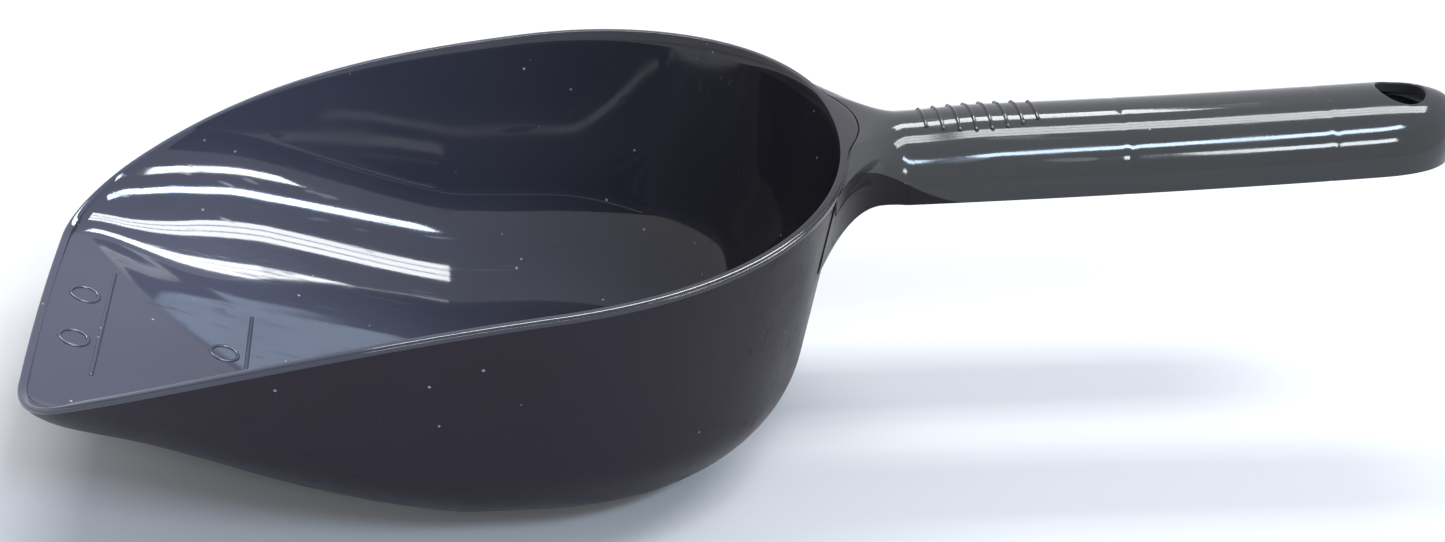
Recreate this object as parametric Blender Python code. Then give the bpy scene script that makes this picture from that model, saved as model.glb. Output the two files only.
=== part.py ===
"""Two-cup feed scoop: an open moulded bowl with a sloping mouth and a half-round channel handle.

Lengths are in millimetres and become metres when a mesh is made. Shapes are worked out with x = 0 at the
back of the rim, x running towards the handle's end, y across and z up from the flat under the bowl. An empty
then carries every piece so that the world origin lies at the middle of that flat.
"""

from math import atan2, cos, hypot, pi, radians, sin, sqrt, tan

import bmesh
import bpy

MM = 0.001
GAP = 0.3

# Bowl, seen from above
BOWL_LENGTH = 158.0
BOWL_WIDTH = 119.0
BACK_REACH = 61.0
BACK_POWER = 2.14
LIP_WIDTH = 77.0
LIP_CORNER = 22.0
SIDE_POWER = 3.3

# Bowl, seen from the side
RIM_HEIGHT = 65.6
RAMP_REACH = 75.8
RAMP_RISE = 25.6
RAMP_POWER = 1.28
MOUTH_CROWN = 0.93
MOUTH_SKEW = 0.55
WALL = 2.1
LIP_LAND = 0.8
DRAFT = radians(7.45)
SIDE_FILLET = 27.0
BACK_FILLET = 28.5
FILLET_SHARE = 0.9

# Step round the outside of the rim
BEAD_WIDTH = 0.8
BEAD_HEIGHT = 1.8

# Handle
HANDLE_REACH = 129.5
HANDLE_WIDTH = 25.0
HANDLE_SKIRT = 1.6
HANDLE_WALL = 2.0
CREST_ABOVE_RIM = 1.1
HANDLE_PITCH = 0.0211
HANDLE_BOW = 0.000177
END_LENGTH = 26.0
END_ROUND = 20.0
END_POWER = 2.6
END_DROP = 6.0
END_CAP_SHARE = 0.3
END_SECTIONS = (0.0, 0.25, 0.5, 0.7, 0.85, 0.95, 1.0)

# Neck and gusset
NECK_LENGTH = 12.0
NECK_FLARE = 10.0
NECK_FLARE_POWER = 3
NECK_SQUARENESS = 2
NECK_DEPTH = 9.0
NECK_ROOT = 7.0
GUSSET_WIDTH = 21.0
GUSSET_START = 7.0
GUSSET_DROP = 9.2

# Hanging hole
HOLE_RADIUS = 5.1
HOLE_FROM_END = 12.2
SLEEVE_WALL = 1.5
SLEEVE_LENGTH = 7.0
SLEEVE_CLEARANCE = 1.0

# Cross ribs inside the channel, as distances from the back of the rim
CROSS_RIBS = (57.0, 100.0)
CROSS_RIB_THICKNESS = 1.3
CROSS_RIB_SKIRT = 0.6

# Thumb ribs on the crest
THUMB_RIBS = 8
THUMB_RIB_START = 16.4
THUMB_RIB_PITCH = 3.25
THUMB_RIB_WIDTH = 1.1
THUMB_RIB_HEIGHT = 0.6
THUMB_RIB_SPAN = 12.9
THUMB_RIB_END_SHARE = 0.65

# Measuring marks on the floor, as distances back from the lip
ONE_CUP_SETBACK = 39.0
TWO_CUP_SETBACK = 11.8
ONE_CUP_SPAN = 32.0
TWO_CUP_SPAN = 38.0
LINE_WIDTH = 1.0
MARK_HEIGHT = 0.6
RING_RADIUS = 3.0
RING_STROKE = 0.9
RING_OFFSET = 4.4
RING_SPACING = 16.0

# Facets
CORNER_STEPS = 6
SIDE_STEPS = 7
BACK_STEPS = 10
FILLET_STEPS = 5
CROWN_STEPS = 14
LENGTH_STEPS = 7
CIRCLE_STEPS = 24
SLOPE_STEP = 1.0
SETTLING_ROUNDS = 8
SHARP_ANGLE = radians(30)

# How far cutters run past what they cut
CUT_MARGIN = 4.0

GLOSS_BLACK = (0.020, 0.020, 0.024, 1.0)
SATIN_BLACK = (0.032, 0.030, 0.034, 1.0)
GLOSS_ROUGHNESS = 0.12
SATIN_ROUGHNESS = 0.42


# ---------------------------------------------------------------- profiles


def spread(start, end, steps):
    """Evenly spaced places from start to end."""
    return [start + (end - start) * step / steps for step in range(steps + 1)]


def ramp(x):
    """Height of the underside at x: flat at the back, rising to the lip."""
    share = (-RAMP_REACH - x) / (BOWL_LENGTH - RAMP_REACH)
    return RAMP_RISE * max(0.0, min(1.0, share)) ** RAMP_POWER


def ramp_slope(x):
    """Angle of the ramp at x, taken over a short chord."""
    return atan2(ramp(x - SLOPE_STEP) - ramp(x + SLOPE_STEP), 2 * SLOPE_STEP)


def rim(x):
    """Height of the mouth at x: a crowned line from the lip up to the back."""
    share = max(0.0, min(1.0, 1 + x / BOWL_LENGTH))
    low = RAMP_RISE + WALL + LIP_LAND
    bulge = share * (1 - share) * (MOUTH_CROWN + MOUTH_SKEW * (1 - 2 * share))
    return low + (RIM_HEIGHT - low) * (share + bulge)


def side(x):
    """Half width and its slope along the tapering side at x."""
    run = BOWL_LENGTH - BACK_REACH
    share = max(0.0, (-BACK_REACH - x) / run)
    lost = (BOWL_WIDTH - LIP_WIDTH) / 2
    slope = lost * SIDE_POWER * share ** (SIDE_POWER - 1) / run
    return BOWL_WIDTH / 2 - lost * share**SIDE_POWER, slope


def half_outline():
    """Points (x, y, nx, ny) round the +y half of the rim, from the lip's corner to the middle of the back."""
    lean = 0.0
    for _ in range(SETTLING_ROUNDS):
        corner_end = -BOWL_LENGTH + LIP_CORNER * (1 - sin(lean))
        lean = atan2(side(corner_end)[1], 1)
    centre_y = side(corner_end)[0] - LIP_CORNER * cos(lean)
    points = []
    for step in range(CORNER_STEPS):
        turn = (pi / 2 - lean) * step / CORNER_STEPS
        nx, ny = -cos(turn), sin(turn)
        points.append((-BOWL_LENGTH + LIP_CORNER * (1 + nx), centre_y + LIP_CORNER * ny, nx, ny))
    for step in range(SIDE_STEPS):
        x = corner_end + (-BACK_REACH - corner_end) * step / SIDE_STEPS
        y, slope = side(x)
        points.append((x, y, -slope / hypot(1, slope), 1 / hypot(1, slope)))
    for step in range(BACK_STEPS):
        turn = pi / 2 * step / BACK_STEPS
        along = sin(turn) ** (2 / BACK_POWER)
        across = cos(turn) ** (2 / BACK_POWER)
        nx = along ** (BACK_POWER - 1) / BACK_REACH
        ny = across ** (BACK_POWER - 1) / (BOWL_WIDTH / 2)
        size = hypot(nx, ny)
        points.append((BACK_REACH * (along - 1), BOWL_WIDTH / 2 * across, nx / size, ny / size))
    points.append((0.0, 0.0, 1.0, 0.0))
    return points


def closed_ring(place):
    """A whole ring: place gives (x, y, z) for each half-outline point, and the other half mirrors it."""
    half = [place(*point) for point in half_outline()]
    return half + [(x, -y, z) for x, y, z in half[-2::-1]]


def rim_ring(inset, drop=0.0):
    """The rim's outline moved inwards by inset and down by drop."""
    return closed_ring(lambda x, y, nx, ny: (x - nx * inset, y - ny * inset, rim(x) - drop))


def wall_rings(inset, floor):
    """Rings down a drafted wall and round its fillet, from the rim to a floor this high above the underside."""

    def foot(x, nx):
        """Floor height, fillet radius and the inset of the fillet's centre under the rim point at x."""
        low = x
        for _ in range(SETTLING_ROUNDS):
            base = ramp(low) + floor
            height = rim(x) - base
            back = max(0.0, 1 + x / BACK_REACH) ** 2
            radius = SIDE_FILLET + (BACK_FILLET - SIDE_FILLET) * back - floor
            radius = min(radius, FILLET_SHARE * height)
            centre = inset + tan(DRAFT) * (height - radius + radius * sin(DRAFT)) + radius * cos(DRAFT)
            low = x - nx * centre
        return base, radius, centre

    def ring(step):
        turn = DRAFT + (pi / 2 - DRAFT) * step / FILLET_STEPS

        def place(x, y, nx, ny):
            base, radius, centre = foot(x, nx)
            into = centre - radius * cos(turn)
            return x - nx * into, y - ny * into, base + radius * (1 - sin(turn))

        return closed_ring(place)

    return [rim_ring(inset)] + [ring(step) for step in range(FILLET_STEPS + 1)]


def foot_middle():
    """x at the middle of the flat under the bowl."""
    inset = BEAD_WIDTH + GAP
    run = tan(DRAFT) * (RIM_HEIGHT - BACK_FILLET * (1 - sin(DRAFT))) + BACK_FILLET * cos(DRAFT)
    return -(RAMP_REACH + inset + run) / 2


def crest(x):
    """Height of the handle's crest at x."""
    return RIM_HEIGHT + CREST_ABOVE_RIM + HANDLE_PITCH * x + HANDLE_BOW * x * x


def skirt(x):
    """Height of the channel's lower edge at x: just below the half round."""
    return crest(x) - HANDLE_WIDTH / 2 - HANDLE_SKIRT


def crown_arc(x, radius, top, start=0.0, end=pi):
    """Points over the crown at x, from +y to -y, on a circle whose top is at height top."""
    turns = [start + (end - start) * step / CROWN_STEPS for step in range(CROWN_STEPS + 1)]
    return [(x, radius * cos(turn), top - radius + radius * sin(turn)) for turn in turns]


def channel_ring(x):
    """The inverted-U section of the grip at x."""
    radius = HANDLE_WIDTH / 2
    top, low = crest(x), skirt(x)
    inner = radius - HANDLE_WALL
    outside = crown_arc(x, radius, top)
    inside = crown_arc(x, inner, top - HANDLE_WALL)[::-1]
    return [(x, radius, low)] + outside + [(x, -radius, low), (x, -inner, low)] + inside + [(x, inner, low)]


def d_ring(x, radius, top, low):
    """A section with a round top and a flat base at x."""
    return [(x, radius, low)] + crown_arc(x, radius, top) + [(x, -radius, low)]


# ---------------------------------------------------------------- meshes


def material(name, colour, roughness):
    """A plain plastic of this colour and roughness."""
    made = bpy.data.materials.new(name)
    made.use_nodes = True
    shader = made.node_tree.nodes["Principled BSDF"]
    shader.inputs["Base Color"].default_value = colour
    shader.inputs["Roughness"].default_value = roughness
    shader.inputs["Metallic"].default_value = 0.0
    made.diffuse_color = colour
    return made


def place_object(name, mesh, finish, frame):
    """Link a mesh as an object under the frame."""
    made = bpy.data.objects.new(name, mesh)
    bpy.context.scene.collection.objects.link(made)
    made.parent = frame
    if finish:
        mesh.materials.append(finish)
        mesh.shade_smooth()
        mesh.set_sharp_from_angle(angle=SHARP_ANGLE)
    else:
        made.hide_render = True
        made.display_type = "WIRE"
    return made


def add_rings(mesh, rings):
    """Add each ring's vertices, and quads from each ring to the next."""
    rows = [[mesh.verts.new([value * MM for value in point]) for point in ring] for ring in rings]
    for row, following in zip(rows, rows[1:]):
        for index in range(len(row)):
            after = (index + 1) % len(row)
            mesh.faces.new((row[index], row[after], following[after], following[index]))
    return rows


def ladder(mesh, row):
    """Close a mirrored ring with rungs that run straight across it."""
    middle = (len(row) - 1) // 2
    for index in range(middle - 1):
        other = len(row) - 1 - index
        mesh.faces.new((row[index], row[index + 1], row[other - 1], row[other]))
    mesh.faces.new((row[middle - 1], row[middle], row[middle + 1]))


def finish_mesh(mesh, name):
    """Turn every face outwards and hand over a mesh."""
    bmesh.ops.recalc_face_normals(mesh, faces=mesh.faces)
    made = bpy.data.meshes.new(name)
    mesh.to_mesh(made)
    mesh.free()
    return made


def loft(name, rings):
    """A solid through the rings, closed by a flat face at each end."""
    mesh = bmesh.new()
    rows = add_rings(mesh, rings)
    mesh.faces.new(rows[0])
    mesh.faces.new(rows[-1])
    return finish_mesh(mesh, name)


def looped_loft(name, rings):
    """A solid whose last ring joins its first."""
    mesh = bmesh.new()
    rows = add_rings(mesh, rings)
    for index in range(len(rows[0])):
        after = (index + 1) % len(rows[0])
        mesh.faces.new((rows[-1][index], rows[-1][after], rows[0][after], rows[0][index]))
    return finish_mesh(mesh, name)


def circle(x, y, z, radius):
    """A level ring of points."""
    turns = [2 * pi * step / CIRCLE_STEPS for step in range(CIRCLE_STEPS)]
    return [(x + radius * cos(turn), y + radius * sin(turn), z) for turn in turns]


def cut(target, cutter, name):
    """Take the cutter's shape out of the target."""
    boolean = target.modifiers.new(name, "BOOLEAN")
    boolean.operation = "DIFFERENCE"
    boolean.object = cutter
    boolean.solver = "EXACT"


# ---------------------------------------------------------------- bowl


def bowl_shell(gloss, frame):
    """The walls and floor, one shell of even thickness that is open at the mouth."""
    mesh = bmesh.new()
    outside = wall_rings(BEAD_WIDTH + GAP, 0.0)
    inside = wall_rings(BEAD_WIDTH + GAP + WALL, WALL)
    rows = add_rings(mesh, outside[::-1] + inside)
    ladder(mesh, rows[0])
    ladder(mesh, rows[-1])
    place_object("bowl_shell", finish_mesh(mesh, "bowl_shell"), gloss, frame)


def rim_bead(gloss, frame):
    """The narrow step that runs round the outside of the rim and the lip."""
    corners = ((0.0, 0.0), (0.0, BEAD_HEIGHT), (BEAD_WIDTH, BEAD_HEIGHT), (BEAD_WIDTH, 0.0))
    rings = [rim_ring(inset, drop) for inset, drop in corners]
    place_object("rim_bead", looped_loft("rim_bead", rings), gloss, frame)


def bowl_envelope(frame):
    """A hidden cutter: the outside of the bowl and its step, with the gap that neighbours keep."""
    mesh = bmesh.new()
    wall = wall_rings(BEAD_WIDTH, 0.0)
    above = rim_ring(-GAP, -RIM_HEIGHT)
    below = rim_ring(-GAP, BEAD_HEIGHT + GAP)
    tucked = closed_ring(
        lambda x, y, nx, ny: (
            x - nx * (BEAD_WIDTH + tan(DRAFT) * (BEAD_HEIGHT + 2 * GAP)),
            y - ny * (BEAD_WIDTH + tan(DRAFT) * (BEAD_HEIGHT + 2 * GAP)),
            rim(x) - BEAD_HEIGHT - 2 * GAP,
        )
    )
    rows = add_rings(mesh, [above, below, tucked] + wall[1:])
    ladder(mesh, rows[0])
    ladder(mesh, rows[-1])
    return place_object("bowl_envelope", finish_mesh(mesh, "bowl_envelope"), None, frame)


# ---------------------------------------------------------------- measuring marks


def tilted_rings(setback, y, outlines):
    """Rings for a mark on the ramp: each outline is (points, height), turned to the slope at this place."""
    x0 = setback - BOWL_LENGTH
    slope = ramp_slope(x0)
    base = ramp(x0) + WALL
    rings = []
    for points, height in outlines:
        rings.append(
            [
                (
                    x0 + u * cos(slope) + height * sin(slope),
                    y + v,
                    base - u * sin(slope) + height * cos(slope),
                )
                for u, v in points
            ]
        )
    return rings


def cup_line(name, setback, span, gloss, frame):
    """A raised bar across the floor."""
    half, end = LINE_WIDTH / 2, span / 2
    points = [(-half, -end), (half, -end), (half, end), (-half, end)]
    rings = tilted_rings(setback, 0.0, [(points, GAP), (points, GAP + MARK_HEIGHT)])
    place_object(name, loft(name, rings), gloss, frame)


def cup_ring(name, setback, y, gloss, frame):
    """A raised ring beside a line, one for each cup."""
    outer = [(u, v) for u, v, _ in circle(0, 0, 0, RING_RADIUS)]
    inner = [(u, v) for u, v, _ in circle(0, 0, 0, RING_RADIUS - RING_STROKE)]
    top = GAP + MARK_HEIGHT
    rings = tilted_rings(setback, y, [(outer, GAP), (outer, top), (inner, top), (inner, GAP)])
    place_object(name, looped_loft(name, rings), gloss, frame)


def measuring_marks(gloss, frame):
    """Two lines across the floor, with one ring at the first and two at the second."""
    cup_line("one_cup_line", ONE_CUP_SETBACK, ONE_CUP_SPAN, gloss, frame)
    cup_line("two_cup_line", TWO_CUP_SETBACK, TWO_CUP_SPAN, gloss, frame)
    cup_ring("one_cup_ring_1", ONE_CUP_SETBACK - RING_OFFSET, 0.0, gloss, frame)
    for index, sign in enumerate((1, -1)):
        name = f"two_cup_ring_{index + 1}"
        cup_ring(name, TWO_CUP_SETBACK - RING_OFFSET, sign * RING_SPACING / 2, gloss, frame)


# ---------------------------------------------------------------- neck


def neck_saddle(gloss, envelope, frame):
    """The glossy top of the neck, flaring from the handle's width into the back of the rim."""
    rings = []
    for x in spread(-NECK_ROOT, NECK_LENGTH, LENGTH_STEPS):
        share = (NECK_LENGTH - x) / (NECK_LENGTH + NECK_ROOT)
        half = HANDLE_WIDTH / 2 + NECK_FLARE * share**NECK_FLARE_POWER
        power = 2 + NECK_SQUARENESS * share
        low = crest(x) - NECK_DEPTH
        ring = []
        for index in range(CROWN_STEPS + 1):
            turn = pi * index / CROWN_STEPS
            y = half * abs(cos(turn)) ** (2 / power) * (1 if cos(turn) > 0 else -1)
            ring.append((x, y, low + NECK_DEPTH * max(0.0, sin(turn)) ** (2 / power)))
        rings.append(ring)
    made = place_object("neck_saddle", loft("neck_saddle", rings), gloss, frame)
    cut(made, envelope, "clear_of_bowl")


def neck_gusset(satin, envelope, frame):
    """The bracket under the neck, with a hollow round from the handle's base down the back of the bowl."""
    top = crest(0.0) - NECK_DEPTH - GAP
    base = skirt(NECK_LENGTH)
    profile = [(-NECK_ROOT, top), (NECK_LENGTH, top), (NECK_LENGTH, base)]
    foot_x = -tan(DRAFT) * (RIM_HEIGHT - base + GUSSET_DROP)
    for step in range(FILLET_STEPS + 1):
        turn = pi / 2 * step / FILLET_STEPS
        x = GUSSET_START - (GUSSET_START - foot_x) * sin(turn)
        profile.append((x, base - GUSSET_DROP * (1 - cos(turn))))
    profile.append((-NECK_ROOT - GUSSET_DROP, base - GUSSET_DROP))
    rings = [[(x, y, z) for x, z in profile] for y in (-GUSSET_WIDTH / 2, GUSSET_WIDTH / 2)]
    made = place_object("neck_gusset", loft("neck_gusset", rings), satin, frame)
    cut(made, envelope, "clear_of_bowl")


# ---------------------------------------------------------------- handle


def end_start():
    """x where the grip stops and the rounded end begins."""
    return HANDLE_REACH - END_LENGTH


def handle_grip(gloss, frame):
    """The half-round channel, open underneath."""
    places = spread(NECK_LENGTH + GAP, end_start() - GAP, LENGTH_STEPS)
    place_object("handle_grip", loft("handle_grip", [channel_ring(x) for x in places]), gloss, frame)


def end_rings(wall, start, reach, below):
    """Sections of the rounded end, drawn in by wall, reaching this far below the channel's edge."""
    rings = []
    for share in END_SECTIONS:
        x = reach - END_ROUND * (1 - share)
        full = (1 - share**END_POWER) ** (1 / END_POWER)
        full = max(full, END_CAP_SHARE)
        radius = (HANDLE_WIDTH / 2 - wall) * full
        top = crest(x) - wall - END_DROP * (1 - full)
        rings.append(d_ring(x, radius, top, skirt(x) - below))
    first = d_ring(start, HANDLE_WIDTH / 2 - wall, crest(start) - wall, skirt(start) - below)
    return [first] + rings


def handle_end(gloss, frame):
    """The rounded end of the channel, hollow from below, with the hanging hole through its crown."""
    outside = end_rings(0.0, end_start(), HANDLE_REACH, 0.0)
    made = place_object("handle_end", loft("handle_end", outside), gloss, frame)
    start = end_start() - CUT_MARGIN
    inside = end_rings(HANDLE_WALL, start, HANDLE_REACH - HANDLE_WALL, CUT_MARGIN)
    hollow = place_object("end_hollow", loft("end_hollow", inside), None, frame)
    x = HANDLE_REACH - HOLE_FROM_END
    heights = (skirt(x) - CUT_MARGIN, crest(x) + CUT_MARGIN)
    drill_rings = [circle(x, 0.0, z, HOLE_RADIUS) for z in heights]
    drill = place_object("hole_drill", loft("hole_drill", drill_rings), None, frame)
    cut(made, hollow, "hollow")
    cut(made, drill, "hanging_hole")


def hang_sleeve(gloss, frame):
    """The short tube that lines the hanging hole under the crown."""
    x = HANDLE_REACH - HOLE_FROM_END
    outer = HOLE_RADIUS + SLEEVE_WALL
    inner_crown = HANDLE_WIDTH / 2 - HANDLE_WALL
    sag = inner_crown - sqrt(inner_crown**2 - outer**2)
    top = crest(x - outer) - HANDLE_WALL - sag - SLEEVE_CLEARANCE
    low = top - SLEEVE_LENGTH
    corners = ((outer, low), (outer, top), (HOLE_RADIUS, top), (HOLE_RADIUS, low))
    rings = [circle(x, 0.0, z, radius) for radius, z in corners]
    place_object("hang_sleeve", looped_loft("hang_sleeve", rings), gloss, frame)


def cross_ribs(satin, frame):
    """Stiffening plates across the inside of the channel."""
    radius = HANDLE_WIDTH / 2 - HANDLE_WALL - GAP
    for index, x in enumerate(CROSS_RIBS):
        name = f"cross_rib_{index + 1}"
        rings = []
        for place in (x - CROSS_RIB_THICKNESS / 2, x + CROSS_RIB_THICKNESS / 2):
            top = crest(x) - HANDLE_WALL - GAP
            rings.append(d_ring(place, radius, top, top - radius - CROSS_RIB_SKIRT))
        place_object(name, loft(name, rings), satin, frame)


def thumb_ribs(gloss, frame):
    """Low ribs over the crest, longest in the middle of the row."""
    radius = HANDLE_WIDTH / 2 + GAP
    middle = (THUMB_RIBS - 1) / 2
    for index in range(THUMB_RIBS):
        x = THUMB_RIB_START + THUMB_RIB_PITCH * index
        off = abs(index - middle) / middle
        span = THUMB_RIB_SPAN * (1 - (1 - THUMB_RIB_END_SHARE) * off**2)
        reach = span / 2 / radius
        rings = []
        for place in (x - THUMB_RIB_WIDTH / 2, x + THUMB_RIB_WIDTH / 2):
            top = crest(x) + GAP
            start, end = pi / 2 - reach, pi / 2 + reach
            under = crown_arc(place, radius, top, start, end)
            over = crown_arc(place, radius + THUMB_RIB_HEIGHT, top + THUMB_RIB_HEIGHT, start, end)
            rings.append(under + over[::-1])
        name = f"thumb_rib_{index + 1}"
        place_object(name, loft(name, rings), gloss, frame)


def main():
    """Build the scoop in an empty scene."""
    for old in list(bpy.data.objects):
        bpy.data.objects.remove(old, do_unlink=True)
    frame = bpy.data.objects.new("scoop_frame", None)
    bpy.context.scene.collection.objects.link(frame)
    frame.location = (-foot_middle() * MM, 0.0, 0.0)
    gloss = material("gloss_black", GLOSS_BLACK, GLOSS_ROUGHNESS)
    satin = material("satin_black", SATIN_BLACK, SATIN_ROUGHNESS)
    bowl_shell(gloss, frame)
    rim_bead(gloss, frame)
    envelope = bowl_envelope(frame)
    measuring_marks(gloss, frame)
    neck_saddle(gloss, envelope, frame)
    neck_gusset(satin, envelope, frame)
    handle_grip(gloss, frame)
    handle_end(gloss, frame)
    hang_sleeve(gloss, frame)
    cross_ribs(satin, frame)
    thumb_ribs(gloss, frame)


main()
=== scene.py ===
"""Looks of the two-cup feed scoop: polished and satin black moulded plastic on a pale studio floor.

The bowl, its rim and the handle are smooth skins worked out on grids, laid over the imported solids.
Lengths are in metres. Shapes are worked out with x = 0 at the back of the rim, x running towards the
handle's end, y across and z up, and each skin is then set in the frame by the rim's own place there.
"""

import logging
from dataclasses import dataclass, field
from enum import Enum

import bmesh
import bpy
import numpy as np
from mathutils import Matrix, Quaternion, Vector


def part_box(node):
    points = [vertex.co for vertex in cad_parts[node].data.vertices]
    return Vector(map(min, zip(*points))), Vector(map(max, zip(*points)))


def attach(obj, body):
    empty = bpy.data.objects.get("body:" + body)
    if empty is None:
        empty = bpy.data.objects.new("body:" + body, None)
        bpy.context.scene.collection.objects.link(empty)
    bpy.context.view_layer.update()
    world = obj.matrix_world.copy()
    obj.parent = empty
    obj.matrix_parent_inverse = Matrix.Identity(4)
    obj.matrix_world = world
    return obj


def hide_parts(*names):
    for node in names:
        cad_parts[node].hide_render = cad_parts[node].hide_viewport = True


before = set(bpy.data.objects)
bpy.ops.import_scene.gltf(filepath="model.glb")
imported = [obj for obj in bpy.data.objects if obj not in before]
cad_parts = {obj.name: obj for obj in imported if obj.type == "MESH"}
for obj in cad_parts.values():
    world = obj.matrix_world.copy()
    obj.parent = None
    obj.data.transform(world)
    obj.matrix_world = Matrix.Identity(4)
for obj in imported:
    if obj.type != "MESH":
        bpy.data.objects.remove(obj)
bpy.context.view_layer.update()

LOG = logging.getLogger("scoop")
MM = 0.001

TINY = 1e-7
TUCK = 0.02 * MM

Array = np.ndarray
Point = tuple[float, float, float]
Colour = tuple[float, float, float, float]
Socket = bpy.types.NodeSocket


# ---------------------------------------------------------------- names and places


class Finish(Enum):
    """The surfaces the mould gives."""

    BOWL = "polished_bowl"
    HANDLE = "polished_handle"
    SATIN = "satin_black"


class Slot(Enum):
    """The record's material slots."""

    BOWL = "bowl_plastic"
    HANDLE = "handle_plastic"
    SATIN = "satin_plastic"


def low(node: str) -> Vector:
    """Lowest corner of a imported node."""
    return Vector(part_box(node)[0])


def high(node: str) -> Vector:
    """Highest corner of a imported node."""
    return Vector(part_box(node)[1])


def middle(node: str) -> Vector:
    """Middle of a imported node."""
    return (low(node) + high(node)) / 2


BACK_OF_RIM = high("rim_bead").x


# ---------------------------------------------------------------- skins


@dataclass
class Skin:
    """A mesh gathered from grids of points, which is then closed where its edges meet.

    Attributes:
        name: the finished object's name.
        finishes: the finishes its faces use, in slot order.
        grids: the grids so far, each with the finish index of each face.
        merge: points closer than this become one.
        sharp_angle: edges that turn more than this stay sharp.
    """

    name: str
    finishes: tuple[Finish, ...]
    grids: list[tuple[Array, Array]] = field(default_factory=list)
    merge: float = 2e-6
    sharp_angle: float = 0.75

    def add(self, points: Array, slots: Array | int = 0, wrap: bool = False) -> None:
        """Add a grid of points.

        Args:
            points: rows x columns x 3, in the shape's own place.
            slots: finish index of each face column, or one index for them all.
            wrap: joins the last column to the first.
        """
        if wrap:
            points = np.concatenate([points, points[:, :1]], axis=1)
        rows, columns = points.shape[0] - 1, points.shape[1] - 1
        self.grids.append((points, np.broadcast_to(slots, (rows, columns))))

    def build(self) -> bpy.types.Object:
        """Join the grids into one object at the frame's origin.

        Returns:
            The object, with its doubles merged and every face turned outwards.
        """
        vertices, faces, slots, start = [], [], [], 0
        for points, chosen in self.grids:
            rows, columns = points.shape[:2]
            index = np.arange(rows * columns).reshape(rows, columns) + start
            corners = (index[:-1, :-1], index[:-1, 1:], index[1:, 1:], index[1:, :-1])
            faces.append(np.stack(corners, axis=-1).reshape(-1, 4))
            vertices.append(points.reshape(-1, 3))
            slots.append(np.asarray(chosen).reshape(-1))
            start += rows * columns
        placed = np.concatenate(vertices) + (BACK_OF_RIM, 0.0, 0.0)
        mesh = bpy.data.meshes.new(self.name)
        mesh.from_pydata(placed, [], np.concatenate(faces))
        mesh.polygons.foreach_set("material_index", np.concatenate(slots).astype(np.int32))
        tidy = bmesh.new()
        tidy.from_mesh(mesh)
        bmesh.ops.remove_doubles(tidy, verts=tidy.verts, dist=self.merge)
        bmesh.ops.dissolve_degenerate(tidy, edges=tidy.edges, dist=self.merge)
        bmesh.ops.recalc_face_normals(tidy, faces=tidy.faces)
        tidy.to_mesh(mesh)
        tidy.free()
        mesh.shade_smooth()
        mesh.set_sharp_from_angle(angle=self.sharp_angle)
        made = bpy.data.objects.new(self.name, mesh)
        bpy.context.scene.collection.objects.link(made)
        for finish in self.finishes:
            mesh.materials.append(bpy.data.materials[finish.value])
        return made


def hand_over(piece: bpy.types.Object, slot: Slot, *nodes: str) -> None:
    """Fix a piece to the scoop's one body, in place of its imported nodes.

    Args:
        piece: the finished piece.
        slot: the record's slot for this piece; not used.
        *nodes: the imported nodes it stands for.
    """
    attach(piece, "root")
    if nodes:
        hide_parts(*nodes)
    count = len(piece.data.polygons)
    LOG.info("%s: %d faces, in place of %s", piece.name, count, ", ".join(nodes) or "nothing")


def stack(*parts: Array | float) -> Array:
    """Put x, y and z arrays, spread to one shape, side by side as points."""
    return np.stack(np.broadcast_arrays(*parts), axis=-1)


def smooth(share: Array) -> Array:
    """Ease from 0 to 1: three squares less two cubes of the share, held to that range."""
    held = np.clip(share, 0.0, 1.0)
    return held * held * (3 - 2 * held)


# ---------------------------------------------------------------- bowl


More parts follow.
